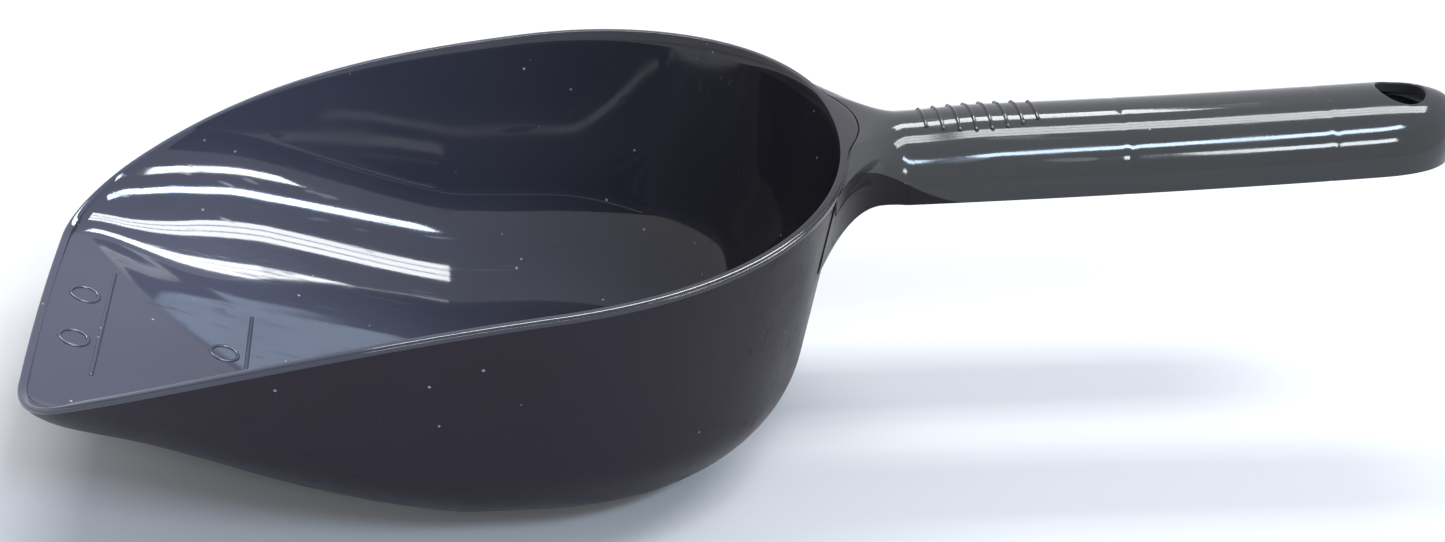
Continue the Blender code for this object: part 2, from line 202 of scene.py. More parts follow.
@dataclass
class Bowl:
    """The open pan: flat at the back, with a floor that ramps up to the lip and a sloping mouth.

    Attributes:
        length: from the lip to the back of the rim.
        width: across the rim.
        rim_height: the rim at its back.
        back_reach: from the back of the rim to its widest place.
        back_power: the power of the superellipse round the back.
        lip_bow: how far the lip's ends fall back from its middle.
        lip_fade: length over which the rim's form changes from the side's to the lip's.
        lip_foot: from the middle to the fillet's foot, near the lip.
        lip_foot_end: where the foot starts to be drawn straight on.
        lip_foot_fade: length over which it comes to be so.
        fillet_stretch: how much further the fillet reaches in than up.
        crescent: how far the flat crescent behind the rim reaches past the rim.
        crescent_bend: how quickly the crescent's edge curves back, per metre.
    """

    length: float = BACK_OF_RIM - low("rim_bead").x
    width: float = high("rim_bead").y - low("rim_bead").y
    rim_height: float = high("rim_bead").z
    back_reach: float = 61.0 * MM
    back_power: float = 2.14
    lip_width: float = 77.0 * MM
    lip_corner: float = 22.0 * MM
    lip_bow: float = 0.58 * MM
    lip_fade: float = 16.0 * MM
    lip_foot: float = 30.0 * MM
    lip_foot_end: float = -118.0 * MM
    lip_foot_fade: float = 34.0 * MM
    side_power: float = 3.3
    ramp_reach: float = 75.8 * MM
    ramp_rise: float = 25.6 * MM
    ramp_power: float = 1.28
    mouth_crown: float = 0.93
    mouth_skew: float = 0.55
    draft: float = np.radians(7.45)
    ramp_fillet: float = 27.0 * MM
    side_fillet: float = 24.5 * MM
    back_fillet: float = 26.0 * MM
    fillet_stretch: float = 1.28
    floor: float = 2.1 * MM
    wall: float = 1.35 * MM
    step_width: float = 0.35 * MM
    step_drop: float = 0.42 * MM
    bead_drop: float = 1.25 * MM
    inner_drop: float = 0.16 * MM
    edge_round: float = 0.1 * MM
    nose_share: float = 0.8
    nose_power: float = 1.4
    crescent: float = 3.2 * MM
    crescent_bend: float = 28.0
    crescent_soft: float = 0.9 * MM
    corner_steps: int = 22
    side_steps: int = 60
    back_steps: int = 56
    front_steps: int = 36
    fillet_steps: int = 26
    wall_steps: int = 14
    settling_rounds: int = 8

    def ramp(self, x: Array) -> Array:
        """Height of the underside at x: a power of the way along the ramp, times its rise."""
        share = np.clip((-self.ramp_reach - x) / (self.length - self.ramp_reach), 0.0, 1.0)
        return self.ramp_rise * share**self.ramp_power

    def rim(self, x: Array) -> Array:
        """Height of the mouth at x: a straight line from the lip to the back, plus a skewed bulge.

        Args:
            x: places along the scoop.

        Returns:
            The heights.
        """
        share = np.clip(1 + x / self.length, 0.0, 1.0)
        lip = self.ramp_rise + self.floor
        bulge = share * (1 - share) * (self.mouth_crown + self.mouth_skew * (1 - 2 * share))
        return lip + (self.rim_height - lip) * (share + bulge)

    def at_lip(self, x: Array) -> Array:
        """1 along the lip, easing to 0 halfway round its corners."""
        return 1 - smooth((x + self.length) / self.lip_fade)

    def edge_height(self, x: Array, inset: Array) -> Array:
        """Height of the rim's flat top this far in: level, but along the lip it slopes with the floor."""
        slope = self.ramp_rise * self.ramp_power / (self.length - self.ramp_reach)
        return self.rim(x) - slope * inset * self.at_lip(x)

    def side(self, x: Array) -> tuple[Array, Array]:
        """Half width, and its slope, along the side: a power of the way from the back to the lip.

        Args:
            x: places along the scoop.

        Returns:
            Half widths, and their slopes along x.
        """
        run = self.length - self.back_reach
        share = np.maximum(0.0, (-self.back_reach - x) / run)
        lost = (self.width - self.lip_width) / 2
        slope = lost * self.side_power * share ** (self.side_power - 1) / run
        return self.width / 2 - lost * share**self.side_power, slope

    def back_edge(self, y: Array) -> Array:
        """The rim's outer edge at y behind the bowl: a superellipse, solved for x."""
        across = np.abs(y) / (self.width / 2)
        return self.back_reach * ((1 - across**self.back_power) ** (1 / self.back_power) - 1)

    def crescent_edge(self, y: Array) -> Array:
        """The far edge of the flat crescent behind the rim: a parabola across the neck."""
        return self.crescent - self.crescent_bend * y**2

    def outline(self) -> tuple[Array, Array, Array, Array]:
        """The rim's outer edge as seen from above.

        An arc round the lip's corner leads into the tapering side and then a superellipse round the back.
        The other half mirrors it, and a straight run closes it along the lip.

        Returns:
            x, y and the outward direction's x and y, once round.
        """
        lean = 0.0
        for _ in range(self.settling_rounds):
            corner_end = -self.length + self.lip_corner * (1 - np.sin(lean))
            lean = np.arctan(self.side(corner_end)[1])
        centre = self.side(corner_end)[0] - self.lip_corner * np.cos(lean)
        turn = np.linspace(0.0, np.pi / 2 - lean, self.corner_steps, endpoint=False)
        corner = (
            -self.length + self.lip_corner * (1 - np.cos(turn)),
            centre + self.lip_corner * np.sin(turn),
            -np.cos(turn),
            np.sin(turn),
        )
        along = np.linspace(corner_end, -self.back_reach, self.side_steps, endpoint=False)
        half, slope = self.side(along)
        size = np.hypot(1.0, slope)
        side = (along, half, -slope / size, 1 / size)
        turn = np.linspace(0.0, np.pi / 2, self.back_steps + 1)
        reach = np.sin(turn) ** (2 / self.back_power)
        across = np.abs(np.cos(turn)) ** (2 / self.back_power)
        across[-1] = 0.0
        nx = reach ** (self.back_power - 1) / self.back_reach
        ny = across ** (self.back_power - 1) / (self.width / 2)
        size = np.hypot(nx, ny)
        back = (self.back_reach * (reach - 1), self.width / 2 * across, nx / size, ny / size)
        half_way = [np.concatenate(parts) for parts in zip(corner, side, back)]
        front = np.linspace(-centre, centre, self.front_steps + 1)[1:-1]
        signs = (1, -1, 1, -1)
        edge = (np.full_like(front, -self.length), front, -np.ones_like(front), np.zeros_like(front))
        x, y, nx, ny = (
            np.concatenate([part, sign * part[-2::-1], run])
            for part, sign, run in zip(half_way, signs, edge)
        )
        near_lip = np.clip((-self.length + self.lip_corner - x) / self.lip_corner, 0.0, 1.0)
        x = x + self.lip_bow * np.clip(np.abs(y) / centre, 0.0, 1.0) ** 2 * near_lip
        return x, y, nx, ny

    def fillet(self, x: Array) -> Array:
        """Radius of the fillet at x: the side's, eased to the back's and to the ramp's.

        Args:
            x: places along the scoop.

        Returns:
            The radii.
        """
        back = np.clip(1 + x / self.back_reach, 0.0, 1.0) ** 2
        front = smooth((-self.back_reach - x) / self.back_reach)
        to_back, to_ramp = self.back_fillet - self.side_fillet, self.ramp_fillet - self.side_fillet
        return self.side_fillet + to_back * back + to_ramp * front

    def narrowing(self, x: Array, top_y: Array, depth: Array) -> Array:
        """Factor on each section's depth that brings its foot to the foot drawn near the lip.

        Args:
            x: place along the rim.
            top_y: the wall's top, across.
            depth: how far in the arc alone would reach.

        Returns:
            The drawn depth over the arc's own, and 1 behind the widest place.
        """
        near_lip = smooth((self.lip_foot_end - x) / self.lip_foot_fade)
        foot = np.abs(top_y) - depth
        drawn = np.maximum(np.abs(top_y) - (foot + (self.lip_foot - foot) * near_lip), 0.0)
        drawn = np.where(x < -self.back_reach, drawn, depth)
        return np.where(depth > TINY, drawn / np.maximum(depth, TINY), 1.0)

    def rings(self, inset: float, floor: float, thin: float, drop: float) -> Array:
        """Rings up a fillet and its drafted wall, all the way round.

        Behind the widest place each section stands square to the rim, and in front of it each section
        runs straight across the bowl. The fillet is a quarter of an ellipse that touches the floor, its
        height a radius less the radius times the turn's cosine. Where the mouth is high it ends at the
        drafted wall, where the mouth is low it is cut off before it stands up, and near the lip it is
        narrowed so that its foot runs straight on.

        Args:
            inset: how far in from the rim's outer edge the wall's top lies.
            floor: the surface's height above the underside.
            thin: taken off the fillet's radius.
            drop: how far below the mouth the wall's top lies.

        Returns:
            Rings from the fillet's foot to the wall's top, as rings x points x 3.
        """
        x, y, nx, ny = self.outline()
        top_x, top_y = x - nx * inset, y - ny * inset
        height = np.maximum(self.edge_height(x, inset) - drop - self.ramp(top_x) - floor, TINY)
        ahead = x < -self.back_reach
        nx, ny = np.where(ahead, 0.0, nx), np.where(ahead, np.sign(y), ny)
        radius = self.fillet(x) - thin
        upright = np.arctan(np.tan(self.draft) / self.fillet_stretch)
        first = np.arcsin(np.clip(1 - height / radius, np.sin(upright), 1.0))
        straight = np.maximum(0.0, height - radius * (1 - np.sin(first)))
        run = np.tan(self.draft) * straight
        depth = run + self.fillet_stretch * radius * np.cos(first)
        scale = self.narrowing(x, top_y, depth)
        turn = (np.pi / 2 - first) * np.linspace(0.0, 1.0, self.fillet_steps + 1)[:, None]
        inboard = (depth - self.fillet_stretch * radius * np.sin(turn)) * scale
        above = radius * (1 - np.cos(turn))
        share = np.linspace(0.0, 1.0, self.wall_steps + 1)[1:, None]
        inboard = np.concatenate([inboard, run * scale * (1 - share)])
        above = np.concatenate([above, above[-1] + straight * share]) - height
        return stack(top_x - nx * inboard, top_y - ny * inboard, self.edge_height(x, inset) - drop + above)

    def floor_patch(self, ring: Array, floor: float) -> Array:
        """The floor inside a ring: rungs straight across it that follow the ramp.

        Args:
            ring: the fillet's foot.
            floor: the surface's height above the underside.

        Returns:
            Rungs x points x 3, from the lip to the back.
        """
        count = self.corner_steps + self.side_steps + self.back_steps + 1
        half = ring[:count]
        share = np.linspace(-1.0, 1.0, self.front_steps + 1)[None, :]
        x = np.repeat(half[:, :1], self.front_steps + 1, axis=1)
        y = half[:, 1:2] * share
        front = ring[-(self.front_steps - 1) :, 0]
        bow = np.interp(share[0], share[0, 1:-1], front)
        bow[[0, -1]] = half[0, 0]
        fade = smooth(1 - np.arange(count)[:, None] / self.corner_steps)
        x = x + (bow[None, :] - half[0, 0]) * fade
        z = self.ramp(x) + floor
        z[:, [0, -1]] = half[:, 2:3]
        return stack(x, y, z)

    def rim_rings(self, outer_top: Array, inner_top: Array) -> Array:
        """Rings over the rim, from the outer wall's top to the inner wall's.

        A small bead stands proud of the wall, a step leads up from it, and a flat land with rounded edges
        runs in to the inner wall. Behind the bowl the land widens into the crescent under the neck. Along
        the lip the profile is a nose instead, rounded from the underside to the floor's edge. Each
        profile point is a place in from the outer edge and one down from the top.

        Args:
            outer_top: last ring of the outer wall.
            inner_top: last ring of the inner wall.

        Returns:
            Rings x points x 3.
        """
        x, y, nx, ny = self.outline()
        behind = np.where(x > -self.back_reach / 2, self.crescent_edge(y) - x, -self.back_reach)
        spread = 0.5 * (behind + np.hypot(behind, self.crescent_soft))
        step, drop, bead = self.step_width, self.step_drop, self.bead_drop
        land = step + self.wall
        fine = self.edge_round
        square = (
            (0.9 * step, bead),
            (0.8 * fine, bead - 0.2 * fine),
            (0.0, bead - 1.2 * fine),
            (0.0, drop + 1.6 * fine),
            (0.4 * fine, drop + 0.5 * fine),
            (1.4 * fine, drop),
            (step - 0.3 * fine, drop - 0.2 * fine),
            (step, drop - 0.7 * fine),
            (step + 0.2 * fine, 1.4 * fine),
            (step + 0.7 * fine, 0.4 * fine),
            (step + 1.8 * fine, 0.0),
            (0.5 * (step + land), -0.1 * fine),
            (land - 2.4 * fine, 0.0),
            (land - 0.8 * fine, 0.4 * fine),
        )
        turn = np.linspace(0.0, np.pi / 2, len(square) - 2)
        reach = self.nose_share * land * (1 - np.cos(turn)) ** self.nose_power
        nose = np.stack([reach, bead * (1 - np.sin(turn))], axis=1)
        nose = np.concatenate([nose, [(0.9 * land, 0.0), (0.97 * land, 0.0)]])
        front = self.at_lip(x)
        rings = [outer_top]
        for index, (sharp, soft) in enumerate(zip(square, nose)):
            inset = sharp[0] + (soft[0] - sharp[0]) * front
            down = sharp[1] + (soft[1] - sharp[1]) * front
            into = inset - spread * (index < len(square) - 2)
            rings.append(stack(x - nx * into, y - ny * into, self.edge_height(x, inset) - down))
        rings.append(inner_top)
        return np.stack(rings)

    def build(self) -> bpy.types.Object:
        """Make the pan: satin outside, polished inside and over the rim."""
        skin = Skin("bowl_skin", (Finish.BOWL, Finish.SATIN))
        outside = self.rings(self.step_width, 0.0, 0.0, self.bead_drop)
        inside = self.rings(self.step_width + self.wall, self.floor, self.wall, self.inner_drop)
        skin.add(outside, 1, wrap=True)
        skin.add(self.rim_rings(outside[-1], inside[-1]), 0, wrap=True)
        skin.add(inside, 0, wrap=True)
        skin.add(self.floor_patch(outside[0], 0.0), 1)
        skin.add(self.floor_patch(inside[0], self.floor), 0)
        made = skin.build()
        hand_over(made, Slot.BOWL, "bowl_shell", "rim_bead")
        return made


# ---------------------------------------------------------------- measuring marks


@dataclass
class CupMarks:
    """Low raised bars and rings on the ramp, one ring for the first measure and two for the second.

    Attributes:
        bowl: the bowl they lie in.
        bar_width: across a bar.
        height: of a bar or ring above the floor.
        ring_stroke: across a ring's bead.
        sink: how far a bead's underside reaches into the floor.
        steps: points along a bead.
        across: faces over a bead.
        least_share: keeps a bar's ends from closing to a point.
    """

    bowl: Bowl
    bar_width: float = 0.9 * MM
    height: float = 0.42 * MM
    ring_stroke: float = 0.85 * MM
    sink: float = 0.1 * MM
    steps: int = 96
    across: int = 10
    least_share: float = 1e-5

    def on_floor(self, x: Array, y: Array, lift: Array) -> Array:
        """Points this far above the polished floor, measured square to its slope.

        Args:
            x: places along the scoop.
            y: places across it.
            lift: how far above the floor.

        Returns:
            The points.
        """
        step = 0.5 * MM
        slope = (self.bowl.ramp(x + step) - self.bowl.ramp(x - step)) / (2 * step)
        size = np.hypot(1.0, slope)
        base = self.bowl.ramp(x) + self.bowl.floor
        return stack(x - lift * slope / size, y, base + lift / size)

    def bead(self, x: Array, y: Array, nx: Array, ny: Array, width: Array) -> Array:
        """A half-round bead along a path: the sine of a half turn lifts it, the cosine spreads it.

        Args:
            x: the path.
            y: the path, across.
            nx: the direction square to the path.
            ny: the same, across.
            width: the bead's width at each point of the path.

        Returns:
            Points along the path x points over the bead x 3.
        """
        turn = np.linspace(0.0, np.pi, self.across + 1)
        off = np.cos(turn)[None, :] * width[:, None] / 2
        share = width[:, None] / width.max()
        lift = np.sin(turn)[None, :] * self.height * share - self.sink
        return self.on_floor(x[:, None] + nx[:, None] * off, y[:, None] + ny[:, None] * off, lift)

    def bar(self, node: str) -> None:
        """A bar across the floor, in place of this node, with rounded ends.

        Args:
            node: the node's name.
        """
        place, box_low, box_high = middle(node), low(node), high(node)
        share = np.sin(np.linspace(-np.pi / 2, np.pi / 2, self.steps))
        y = box_low.y + (box_high.y - box_low.y) * (share + 1) / 2
        reach = (box_high.y - box_low.y) / 2
        ends = np.clip((reach - np.abs(y - place.y)) / (self.bar_width / 2), 0.0, 1.0)
        width = self.bar_width * np.sqrt(np.maximum(1 - (1 - ends) ** 2, self.least_share))
        x = np.full_like(y, place.x - BACK_OF_RIM)
        points = self.bead(x, y, np.ones_like(y), np.zeros_like(y), width)
        self.finish(node, points, False)

    def ring(self, node: str) -> None:
        """A ring on the floor, in place of this node.

        Args:
            node: the node's name.
        """
        place, box_low, box_high = middle(node), low(node), high(node)
        radius = (box_high.y - box_low.y) / 2 - self.ring_stroke / 2
        turn = np.linspace(0.0, 2 * np.pi, self.steps, endpoint=False)
        x = place.x - BACK_OF_RIM + radius * np.cos(turn)
        y = place.y + radius * np.sin(turn)
        width = np.full_like(turn, self.ring_stroke)
        points = self.bead(x, y, np.cos(turn), np.sin(turn), width)
        self.finish(node, points, True)

    def finish(self, node: str, points: Array, closed: bool) -> None:
        """Close a bead and hand it over.

        Args:
            node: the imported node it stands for.
            points: the bead's points.
            closed: whether its path comes back to its start.
        """
        if closed:
            points = np.concatenate([points, points[:1]])
        skin = Skin(f"{node}_bead", (Finish.BOWL,))
        skin.add(points, 0, wrap=True)
        if not closed:
            for end in (points[:1], points[-1:]):
                skin.add(np.concatenate([end, end[:, ::-1]]), 0)
        hand_over(skin.build(), Slot.BOWL, node)

    def build(self) -> None:
        """Make every bar and ring that the frame holds."""
        for node in sorted(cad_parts):
            if node.endswith("_cup_line"):
                self.bar(node)
            elif "_cup_ring_" in node:
                self.ring(node)


# ---------------------------------------------------------------- handle


@dataclass
class Handle:
    """The half-round channel, its flare into the rim, its rounded end and the hole in its crown.

    Attributes:
        bowl: the bowl it grows from.
        width: across the channel.
        reach: from the back of the rim to the handle's end.
        pitch: rise of the crest for each unit along it.
        bow: the crest's curve, per metre.
        skirt_drop: from the half round's middle down to the channel's edge.
        neck: where the flare ends and the even handle starts.
        neck_dip: how far the crest dips at the neck.
        dip_fade: length over which the dip runs out.
        flare_half: half the width of the flare at the rim.
        flare_fall: how far the flare's edge falls below the rim towards the parting line.
        flare_turn: how far the flare's edge leaves the rim sideways.
        flare_pull: strength of the flare's curve at the rim, at the parting line.
        neck_pull: strength of the same curve at the handle.
        parting_start: where the mould's parting line leaves the rim.
        parting_end: where it meets the channel's lower edge.
        parting_ridge: how far the parting line stands proud.
        web: where the solid neck ends and the open channel starts.
        sink_depth: depth of the dents that the cross ribs leave in the crown.
        sink_width: half the width of such a dent.
        seam_tuck: how far the skin's first row reaches under the rim, along and down.
        edge_tuck: how far its edge over the neck reaches into the bracket, across and down.
        hole_round: radius of the round at the hanging hole's upper edge.
    """

    bowl: Bowl
    width: float = high("handle_grip").y - low("handle_grip").y
    reach: float = high("handle_end").x - BACK_OF_RIM
    crest_above_rim: float = 1.1 * MM
    pitch: float = 0.0211
    bow: float = 0.177
    skirt_drop: float = 1.6 * MM
    wall: float = 2.0 * MM
    neck: float = 12.0 * MM
    neck_dip: float = 0.85 * MM
    dip_fade: float = 18.0 * MM
    flare_half: float = 28.0 * MM
    flare_fall: float = 1.2 * MM
    flare_turn: float = np.radians(65.0)
    flare_pull: float = 38.5 * MM
    neck_pull: float = 24.5 * MM
    parting_start: float = -6.1 * MM
    parting_end: float = 24.9 * MM
    parting_top: float = 2.1 * MM
    parting_ridge: float = 0.07 * MM
    web: float = 13.0 * MM
    end_round: float = 20.0 * MM
    end_power: float = 2.6
    end_drop: float = 6.0 * MM
    sink_depth: float = 0.035 * MM
    sink_width: float = 0.9 * MM
    start_inset: float = 0.15 * MM
    fall_start: float = 0.35
    turn_power: float = 1.3
    leave_rise: float = 0.1
    rise_end: float = 0.45
    least: float = 0.1 * MM
    least_side: float = 0.5 * MM
    least_inner_side: float = 0.4 * MM
    hidden_drop: float = 4.0 * MM
    seam_tuck: tuple[float, float] = (0.25 * MM, 0.6 * MM)
    edge_tuck: tuple[float, float] = (0.8 * MM, 1.0 * MM)
    hole_round: float = 0.55 * MM
    hole_steps: int = 96
    hole_round_steps: int = 8
    sleeve_wall: float = 1.5 * MM
    sleeve_round: float = 0.25 * MM
    sleeve_fit: float = 0.06 * MM
    sleeve_slope: float = 0.6 * MM
    crown_columns: int = 40
    side_columns: int = 10
    rim_rows: int = 10
    neck_rows: int = 39
    end_rows: int = 45
    row_step: float = 1.0 * MM
    mark_reach: float = 4.0 * MM
    mark_step: float = 0.25 * MM
    sharp_angle: float = 0.75

    def crest(self, x: Array) -> Array:
        """Height of the crest at x: a straight pitch plus a slight upward bow, less a dip at the neck."""
        dip = self.neck_dip * (1 - smooth((x - self.neck) / self.dip_fade))
        return self.bowl.rim_height + self.crest_above_rim + self.pitch * x + self.bow * x**2 - dip

    def skirt(self, x: Array) -> Array:
        """Height of the channel's lower edge at x, just below the half round."""
        dip = self.neck_dip * (1 - smooth((x - self.neck) / self.dip_fade))
        return self.crest(x) + dip - self.width / 2 - self.skirt_drop

    def parting(self, x: Array) -> Array:
        """Height of the mould's parting line at x: an ease from the rim's bead to the lower edge.

        Args:
            x: places along the scoop.

        Returns:
            The heights.
        """
        share = (x - self.parting_start) / (self.parting_end - self.parting_start)
        top = self.bowl.rim_height - self.parting_top
        return top - (top - self.skirt(self.parting_end)) * smooth(share)

    def neck_start(self, share: Array) -> tuple[Array, Array, Array]:
        """Where the neck leaves the rim: along the crescent's edge, then down the rim's outer edge.

        Args:
            share: place along it, 0 in the middle and 1 where the parting line meets the rim.

        Returns:
            x, y and z.
        """
        y = self.flare_half * share
        edge = self.bowl.back_edge(y)
        crescent = self.bowl.crescent_edge(y)
        x = 0.5 * (edge + crescent + np.hypot(edge - crescent, self.bowl.crescent_soft)) - self.start_inset
        reached = smooth((share - self.fall_start) / (1 - self.fall_start))
        return x, y, self.bowl.rim(np.minimum(x, 0.0)) - TUCK - self.flare_fall * reached

    def neck_skin(self, q: Array, t: Array) -> tuple[Array, Array, Array]:
        """The flare between the rim and the handle: a cubic from each place on the rim's edge to the handle.

        Each cubic leaves the rim more and more along it towards the parting line, and meets the handle
        along the handle.

        Args:
            q: place round the section, 0 at the crest and 1 at the parting line.
            t: place along the neck, 0 at the rim and 1 at the handle.

        Returns:
            x, y and z.
        """
        start = self.neck_start(q)
        step = self.least / 2
        ends = [self.grip(np.array(self.neck + extra), q) for extra in (0.0, step)]
        turn = self.flare_turn * q**self.turn_power
        straight = self.neck - start[0][..., :1]
        leave = straight + (self.flare_pull - straight) * q**2
        meet = straight + (self.neck_pull - straight) * q**2
        climb = self.leave_rise * leave * (1 - smooth(q / self.rise_end))
        leave_by = (np.cos(turn) * leave, -np.sin(turn) * leave, climb)
        meet_by = (meet, (ends[1][0] - ends[0][0]) / step * meet, (ends[1][1] - ends[0][1]) / step * meet)
        finish = (np.full_like(q, self.neck), ends[0][0], ends[0][1])
        a, b = 2 * t**3 - 3 * t**2 + 1, t**3 - 2 * t**2 + t
        c, d = 3 * t**2 - 2 * t**3, t**3 - t**2
        return tuple(
            a * first + b * away + c * last + d * into
            for first, away, last, into in zip(start, leave_by, finish, meet_by)
        )

    def grip(self, x: Array, q: Array) -> tuple[Array, Array]:
        """y and z round half the handle's section at x.

        Args:
            x: a place along the handle for each row.
            q: the share of the way round, for each column.

        Returns:
            y and z of each point.
        """
        full = self.end_share(x, self.reach)
        sink = sum(np.exp(-(((x - place) / self.sink_width) ** 2)) for place in self.rib_places())
        pull = self.sink_depth * sink
        skirt = self.skirt(x)
        crest = self.crest(x) - self.end_drop * (1 - full) - pull
        spring = crest - np.maximum(self.width / 2 * full**0.5, self.least)
        spring = np.maximum(spring, skirt + self.least_side)
        parting = np.clip(self.parting(x), skirt + TUCK, crest - self.least_side)
        return self.section(self.width / 2 * full - pull, crest, spring, skirt, parting, q)

    @staticmethod
    def section(
        half: Array, top: Array, spring: Array, skirt: Array, parting: Array, q: Array
    ) -> tuple[Array, Array]:
        """Points round half a section: a quarter ellipse from the crest to its spring, then straight down.

        Args:
            half: half width of each section.
            top: height of its crest.
            spring: height where its side turns upright.
            skirt: height of its lower edge.
            parting: height of the parting line.
            q: place round the section, 0 at the crest, 1 at the parting line and 2 at the lower edge.

        Returns:
            y and z.
        """
        rise = np.maximum(top - spring, TINY)
        quarter = np.pi / 4 * np.maximum(half + top - spring, TINY)
        turn_parting = np.arccos(np.clip((parting - spring) / rise, 0.0, 1.0))
        at_parting = np.where(
            parting >= spring, quarter * turn_parting / (np.pi / 2), quarter + spring - parting
        )
        whole = quarter + spring - skirt
        place = np.where(q <= 1, at_parting * q, at_parting + (whole - at_parting) * (q - 1))
        turn = np.clip(place / quarter, 0.0, 1.0) * np.pi / 2
        z = spring + (top - spring) * np.cos(turn) - np.maximum(place - quarter, 0.0)
        return half * np.sin(turn), z

    def stations(self) -> tuple[Array, Array]:
        """Rows along the handle, closer together at the crescent, at the sink marks and round the end.

        Returns:
            t of each row of the neck, and x of each row of the grip, whose first row comes twice.
        """
        at_rim = np.linspace(0.0, 0.1, self.rim_rows + 1)
        t = np.concatenate([at_rim, np.linspace(0.1, 1.0, self.neck_rows + 1)[1:-1]])
        round_start = self.reach - self.end_round
        near = self.mark_reach
        close = [np.arange(x - near, x + near, self.mark_step) for x in self.rib_places()]
        web = [self.web - TUCK / 2, self.web + TUCK / 2]
        grip = np.unique(np.concatenate([np.arange(self.neck, round_start, self.row_step), web, *close]))
        grip = grip[(grip > self.neck) & (grip < round_start)]
        end = round_start + self.end_round * np.sin(np.linspace(0.0, np.pi / 2, self.end_rows + 1))
        return t, np.concatenate([[self.neck, self.neck], grip, end])

    def rib_places(self) -> list[float]:
        """x of each stiffening rib inside the channel."""
        return [middle(f"cross_rib_{index}").x - BACK_OF_RIM for index in (1, 2)]

    def end_share(self, x: Array, reach: float) -> Array:
        """How full the section is near the rounded end: a superellipse of the way along it."""
        share = np.clip((x - (self.reach - self.end_round)) / (reach - self.reach + self.end_round), 0.0, 1.0)
        return (1 - share**self.end_power) ** (1 / self.end_power)

    def skin_points(self) -> tuple[Array, Array, Array]:
        """The whole skin: outside from edge to edge over the crown, then back along the inside.

        Over the neck the skin stops at the parting line, where its edge is tucked into the gusset.

        Returns:
            The outside grid, the inside grid and the finish of each outside face column.
        """
        t, x_row = self.stations()
        t, x_row = t[:, None], x_row[:, None]
        upper = np.linspace(0.0, 1.0, self.crown_columns + 1)[None, :]
        lower = np.linspace(0.0, 1.0, self.side_columns + 1)[None, 1:]
        q = np.concatenate([upper, 1 + lower], axis=1)
        crown = stack(*self.neck_skin(upper, t))
        crown[0] -= (self.seam_tuck[0], 0.0, self.seam_tuck[1])
        grip = stack(x_row, *self.grip(x_row, q))
        crown = np.concatenate([crown, grip[:1, : upper.size]])
        tucked = crown[:, -1:] - lower[..., None] * np.array([0.0, *self.edge_tuck])
        tucked = np.concatenate([crown, tucked], axis=1)
        outside = np.concatenate([tucked, grip[1:]])
        ridge = (outside[:, upper.size - 1, 0] < self.parting_end) * self.parting_ridge
        outside[:, upper.size - 1, 1] += ridge
        under = stack(*self.neck_skin(q / 2, t))
        under = np.concatenate([under, stack(x_row[:1], *self.grip(x_row[:1], q / 2))])
        under -= (0.0, 0.0, self.hidden_drop)
        under[0] -= (self.seam_tuck[0], 0.0, 0.0)
        x_in, y_in, z_in = self.hollow(x_row[1:], q / 2)
        inside = np.concatenate([under, stack(x_in, y_in, z_in)])
        finish = np.repeat([1, 0, 1], [self.side_columns, 2 * self.crown_columns, self.side_columns])
        return self.both_sides(outside), self.both_sides(inside), finish

    def hollow(self, x: Array, q: Array) -> tuple[Array, Array, Array]:
        """The inside of the channel: the outside drawn in by the wall, and level before the web.

        Args:
            x: each row's place.
            q: place round the section, 0 at the crest and 1 at the lower edge.

        Returns:
            x, y and z.
        """
        share = np.clip((x - self.reach + self.end_round) / self.end_round, 0.0, 1.0)
        x_in = x - self.wall * share
        full = self.end_share(x_in, self.reach - self.wall)
        half = (self.width / 2 - self.wall) * full
        skirt = self.skirt(x)
        crest = self.crest(x_in) - self.wall - self.end_drop * (1 - full)
        spring = np.maximum(crest - np.maximum(half, self.least), skirt + self.least_inner_side)
        y, z = self.section(half, crest, spring, skirt, skirt, q)
        return x_in, y, np.where(x > self.web, z, skirt + 2 * self.least)

    @staticmethod
    def both_sides(half: Array) -> Array:
        """Mirror half a section across the middle, from one lower edge over the crest to the other."""
        return np.concatenate([half[:, :0:-1], half * (1, -1, 1)], axis=1)

    def drill(self, centre: float, radius: float) -> bpy.types.Object:
        """The hanging hole's cutter: a post whose radius flares by a quarter round up to the crown.

        Args:
            centre: the hole's place along the handle.
            radius: the hole's radius.

        Returns:
            The cutter, in the frame.
        """
        turn = np.linspace(0.0, 2 * np.pi, self.hole_steps, endpoint=False)[None, :]
        share = np.linspace(0.0, 1.0, self.hole_round_steps + 1)[:, None]
        flared = radius + self.hole_round * (1 - np.sqrt(np.maximum(1 - share**2, 0.0)))
        x, y = centre + flared * np.cos(turn), flared * np.sin(turn)
        full = self.end_share(x, self.reach)
        spring_drop = self.width / 2 * full**0.5
        across = np.clip(np.abs(y) / (self.width / 2 * full), 0.0, 1.0)
        top = self.crest(x) - self.end_drop * (1 - full)
        crown = top - spring_drop + spring_drop * np.sqrt(1 - across**2)
        rings = stack(x, y, crown - self.hole_round * (1 - share) + TUCK * share)
        below = rings[:1] * (1, 1, 0) + (0, 0, self.skirt(centre) - self.hidden_drop)
        above = rings[-1:] + (0, 0, self.hidden_drop)
        ends = [np.broadcast_to((centre, 0.0, ring[0, :, 2].mean()), ring.shape) for ring in (below, above)]
        skin = Skin("drill", ())
        skin.add(np.concatenate([ends[0], below, rings, above, ends[1]]), 0, wrap=True)
        return skin.build()

